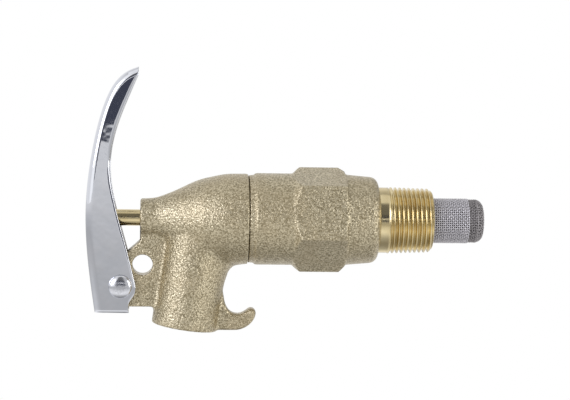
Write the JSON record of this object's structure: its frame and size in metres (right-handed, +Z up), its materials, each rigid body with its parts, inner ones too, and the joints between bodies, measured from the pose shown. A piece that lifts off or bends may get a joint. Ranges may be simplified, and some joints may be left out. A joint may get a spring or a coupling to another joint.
{
  "type": "drum faucet",
  "caption": "Self-closing cast brass drum faucet with swivelling hex inlet adapter, tapered pipe thread, mesh strainer, channel lever, lock hole and pail hook.",
  "frame": {"origin": "centre of the small end face of the tapered inlet thread, on the inlet axis", "axes": "+X along the inlet axis from the lever towards the strainer, +Z up with the spout hanging down, +Y away from a viewer who has the lever on the left"},
  "size_m": [0.1593, 0.0406, 0.1053],
  "materials": {
    "cast_brass": "blasted sand-cast brass, fine grain, pale khaki",
    "machined_brass": "bright turned brass",
    "chromed_steel": "polished chrome plate on pressed steel",
    "stainless_mesh": "fine woven stainless wire",
    "spring_steel": "drawn spring wire",
    "stainless_fasteners": "plain stainless",
    "white_polymer": "white fluoropolymer",
    "rubber_seal": "black rubber"
  },
  "bodies": {
    "adapter": {"inlet_adapter": "cast_brass", "spring_retainer": "machined_brass", "retainer_clip": "spring_steel", "strainer_collar": "machined_brass", "strainer_outer_mesh": "stainless_mesh", "strainer_inner_mesh": "stainless_mesh"},
    "faucet_body": {"body_casting": "cast_brass", "swivel_screw": "machined_brass", "swivel_o_ring": "rubber_seal", "spigot_thrust_washer": "white_polymer", "screw_thrust_washer": "white_polymer", "lever_rivet": "chromed_steel", "lever_washers": "stainless_fasteners"},
    "valve_stem": {"push_rod": "machined_brass", "stem_o_rings": "rubber_seal", "disc_washer": "stainless_fasteners", "seat_disc": "white_polymer", "disc_holder": "machined_brass", "lock_washer": "stainless_fasteners", "stem_nut": "stainless_fasteners", "valve_spring": "spring_steel"},
    "lever": {"lever": "chromed_steel"}
  },
  "joints": [
    {"name": "body_swivel", "type": "hinge", "parent": "adapter", "child": "faucet_body", "pos_m": [-0.0738, 0, 0], "axis": [1, 0, 0], "continuous": true},
    {"name": "lever_hinge", "type": "hinge", "parent": "faucet_body", "child": "lever", "pos_m": [-0.1241, 0, -0.02685], "axis": [0, 1, 0], "range_deg": [0, 14]},
    {"name": "stem_slide", "type": "slide", "parent": "faucet_body", "child": "valve_stem", "axis": [1, 0, 0], "range_m": [0, 0.0066], "stiffness_N_per_m": 300, "springref_m": -0.018, "deforming": ["valve_spring"]}
  ],
  "couplings": [
    {"joint": "stem_slide", "follows": "lever_hinge", "m_per_rad": 0.0266}
  ]
}
